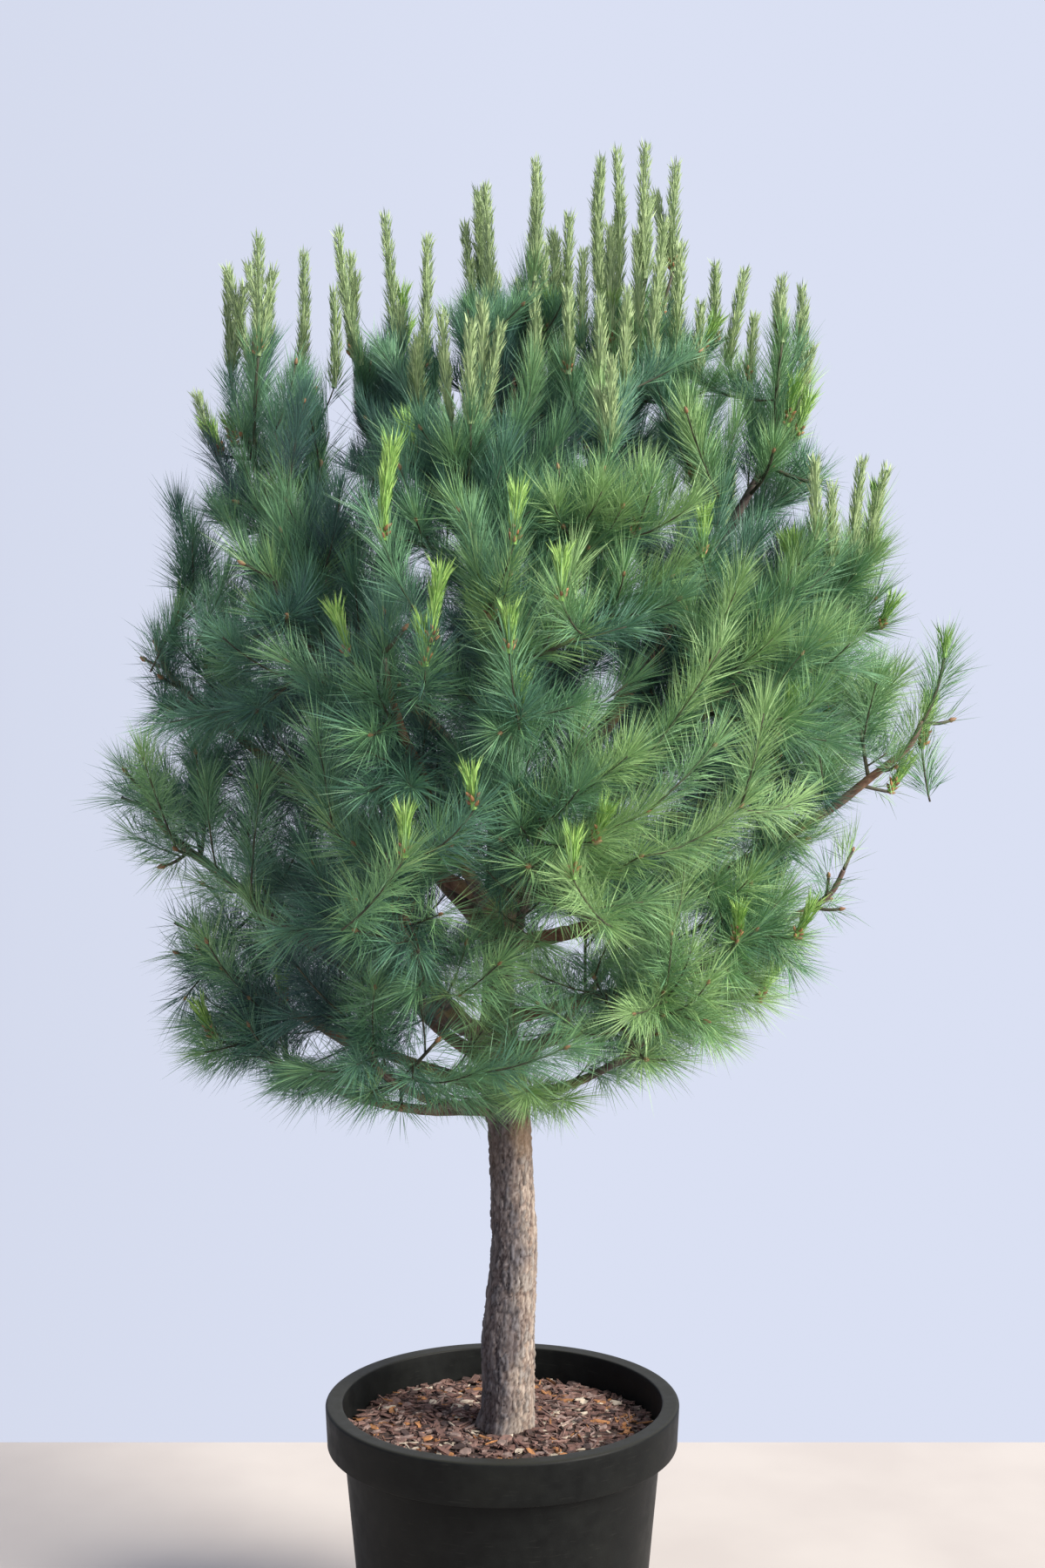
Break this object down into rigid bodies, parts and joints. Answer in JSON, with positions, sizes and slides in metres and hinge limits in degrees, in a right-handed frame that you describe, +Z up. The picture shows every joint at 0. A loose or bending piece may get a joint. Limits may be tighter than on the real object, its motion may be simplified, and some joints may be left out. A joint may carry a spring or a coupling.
{
  "type": "potted italian stone pine",
  "caption": "Young stone pine with a bare leaning trunk, a dense egg-shaped crown of long needles topped by upright pale candles, in a round black nursery pot of soil.",
  "frame": {"origin": "centre of the pot's flat underside", "axes": "+Z up along the trunk, -Y towards the viewer of the plant's front, +X to that viewer's right"},
  "size_m": [1.5069, 1.4255, 2.6208],
  "materials": {
    "pot_plastic": "satin",
    "bark_mulch": "matte",
    "trunk_bark": "matte",
    "bough_bark": "matte",
    "pine_needles": "matte"
  },
  "bodies": {
    "root": {"pot": "pot_plastic", "potting_soil": "bark_mulch", "trunk": "trunk_bark", "bough_lowest_left": "bough_bark", "bough_lowest_front_left": "bough_bark", "bough_lowest_right": "bough_bark", "bough_lower_left": "bough_bark", "bough_lower_back_left": "bough_bark", "bough_lower_back_right": "bough_bark", "bough_lower_right": "bough_bark", "bough_lower_front_left": "bough_bark", "bough_left_limb": "bough_bark", "bough_lower_right_tip": "bough_bark", "bough_lower_front": "bough_bark", "bough_right_tip": "bough_bark", "bough_back_left": "bough_bark", "bough_back_right": "bough_bark", "bough_front_left": "bough_bark", "bough_right_outer": "bough_bark", "bough_left_tip": "bough_bark", "bough_right_front": "bough_bark", "bough_back_centre": "bough_bark", "bough_upper_right": "bough_bark", "bough_front_centre": "bough_bark", "bough_left_inner": "bough_bark", "bough_upper_far_left": "bough_bark", "bough_front_right": "bough_bark", "bough_upper_far_right": "bough_bark", "bough_upper_back": "bough_bark", "bough_upper_front": "bough_bark", "needles_lowest_left": "pine_needles", "needles_lowest_front_left": "pine_needles", "needles_lowest_right": "pine_needles", "needles_lower_left": "pine_needles", "needles_lower_back_left": "pine_needles", "needles_lower_back_right": "pine_needles", "needles_lower_right": "pine_needles", "needles_lower_front_left": "pine_needles", "needles_left_limb": "pine_needles", "needles_lower_right_tip": "pine_needles", "needles_lower_front": "pine_needles", "needles_right_tip": "pine_needles", "needles_back_left": "pine_needles", "needles_back_right": "pine_needles", "needles_front_left": "pine_needles", "needles_right_outer": "pine_needles", "needles_left_tip": "pine_needles", "needles_right_front": "pine_needles", "needles_back_centre": "pine_needles", "needles_upper_right": "pine_needles", "needles_front_centre": "pine_needles", "needles_left_inner": "pine_needles", "needles_upper_far_left": "pine_needles", "needles_front_right": "pine_needles", "needles_upper_far_right": "pine_needles", "needles_upper_back": "pine_needles", "needles_upper_front": "pine_needles", "needles_top_left": "pine_needles", "needles_top_right": "pine_needles", "needles_top_centre": "pine_needles"}
  },
  "joints": []
}
